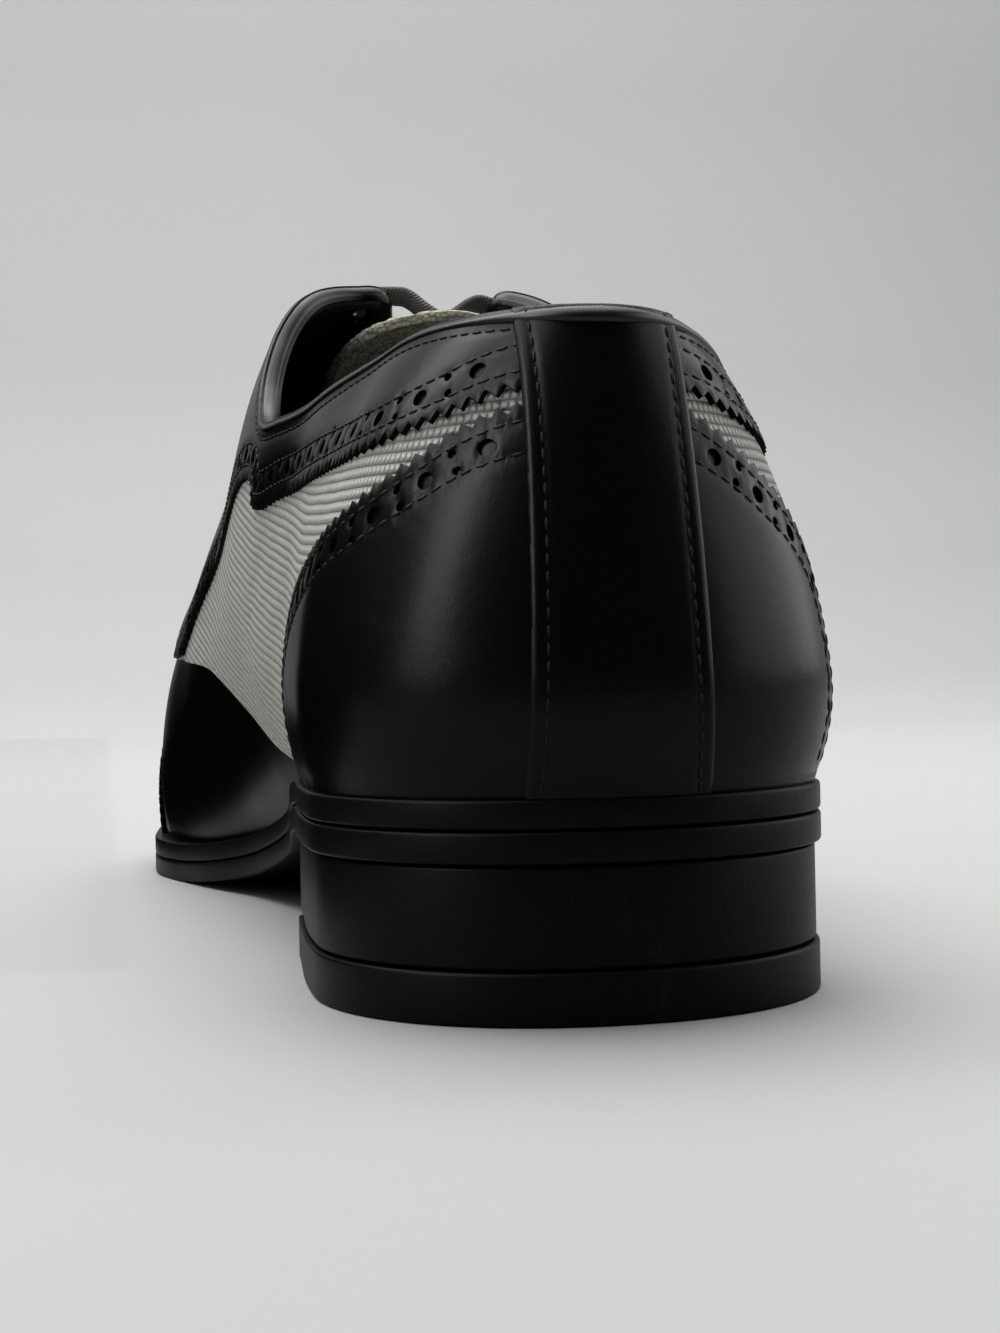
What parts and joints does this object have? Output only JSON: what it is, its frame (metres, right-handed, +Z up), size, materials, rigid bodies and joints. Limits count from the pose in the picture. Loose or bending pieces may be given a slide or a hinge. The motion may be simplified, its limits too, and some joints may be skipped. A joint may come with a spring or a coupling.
{
  "type": "spectator shoe",
  "caption": "Two-tone lace-up spectator shoe for the right foot, with a hollow upper, brogued overlays, a welted rubber sole and a block heel.",
  "frame": {"origin": "centre of the bounding box on the floor under the sole", "axes": "+Y from the heel to the toe, +X to the lateral side of the right foot, +Z up"},
  "size_m": [0.1058, 0.304, 0.1174],
  "materials": {
    "leather_black": "smooth polished black leather",
    "woven_white": "white ribbed quarter over a black vamp, lined",
    "rubber_black": "satin black moulded rubber",
    "lining_sock": "dull dark sock lining",
    "tongue_beige": "nubby beige weave",
    "lace_black": "flat woven black lace"
  },
  "bodies": {
    "root": {"welt": "rubber_black", "outsole": "rubber_black", "heel_block": "rubber_black", "top_lift": "rubber_black", "upper": "woven_white", "insole": "lining_sock", "tongue": "tongue_beige", "back_strip": "leather_black", "counter_medial": "leather_black", "counter_lateral": "leather_black", "band_medial": "leather_black", "band_lateral": "leather_black", "wing_cap": "leather_black", "lace_bar_1": "lace_black", "lace_bar_2": "lace_black", "lace_bar_3": "lace_black", "lace_bar_4": "lace_black"}
  },
  "joints": []
}
